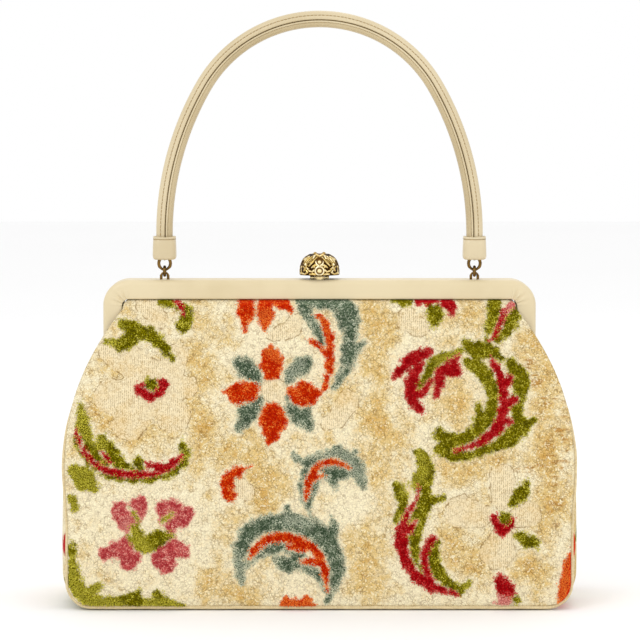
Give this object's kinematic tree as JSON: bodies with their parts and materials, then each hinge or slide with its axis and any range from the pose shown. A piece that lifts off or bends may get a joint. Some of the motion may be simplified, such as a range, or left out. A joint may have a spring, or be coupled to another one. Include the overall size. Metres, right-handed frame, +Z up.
{
  "type": "carpet bag",
  "caption": "Structured frame handbag in floral cut-pile carpet cloth, with a hinged leather-covered frame, an arched leather handle on short chains and a domed lift clasp.",
  "frame": {"origin": "middle of the bag's resting face", "axes": "+X to the viewer's right along the width, +Y to the back, +Z up"},
  "size_m": [0.32, 0.1052, 0.3659],
  "materials": {
    "carpet": "ribbed ivory ground of a cut-pile carpet cloth",
    "olive_yarn": "cut pile",
    "crimson_yarn": "cut pile",
    "rose_yarn": "cut pile",
    "orange_yarn": "cut pile",
    "teal_yarn": "cut pile",
    "welt": "twisted cord",
    "board": "matt pressed fibre board",
    "lining": "plain faille",
    "leather": "bone leather, satin",
    "steel": "plated",
    "gilt": "antique gilt"
  },
  "bodies": {
    "bag": {"front_panel": "carpet", "rear_panel": "carpet", "gusset": "carpet", "front_welt": "welt", "rear_welt": "welt", "pile_olive": "olive_yarn", "pile_crimson": "crimson_yarn", "pile_rose": "rose_yarn", "pile_orange": "orange_yarn", "pile_teal": "teal_yarn", "front_board": "board", "rear_board": "board", "base_board": "board", "lining": "lining", "front_bow": "steel", "front_bow_cover": "leather", "left_hinge_rivet": "steel", "right_hinge_rivet": "steel", "clasp_catch": "gilt", "left_staple": "gilt", "right_staple": "gilt"},
    "rear_frame": {"rear_bow": "steel", "rear_bow_cover": "leather", "clasp_plate": "gilt", "clasp_pin": "gilt"},
    "clasp": {"clasp_dome": "gilt"},
    "handle_links": {"left_link": "gilt", "right_link": "gilt"},
    "handle": {"left_ring": "gilt", "right_ring": "gilt", "left_keeper": "leather", "right_keeper": "leather", "handle_strap": "leather", "handle_roll": "leather", "handle_core": "steel"}
  },
  "joints": [
    {"name": "frame_open", "type": "hinge", "parent": "bag", "child": "rear_frame", "pos_m": [0, 0, 0.142], "axis": [-1, 0, 0], "range_deg": [0, 50], "deforming": ["rear_panel", "rear_welt", "lining"]},
    {"name": "clasp_lift", "type": "hinge", "parent": "rear_frame", "child": "clasp", "pos_m": [0, 0.0126, 0.2019], "axis": [-1, 0, 0], "range_deg": [0, 75]},
    {"name": "links_swing", "type": "hinge", "parent": "bag", "child": "handle_links", "pos_m": [0, -0.0062, 0.2043], "axis": [-1, 0, 0], "range_deg": [-48, 40]},
    {"name": "handle_swing", "type": "hinge", "parent": "handle_links", "child": "handle", "pos_m": [0, -0.0062, 0.2059], "axis": [-1, 0, 0], "range_deg": [-38, 26]}
  ]
}
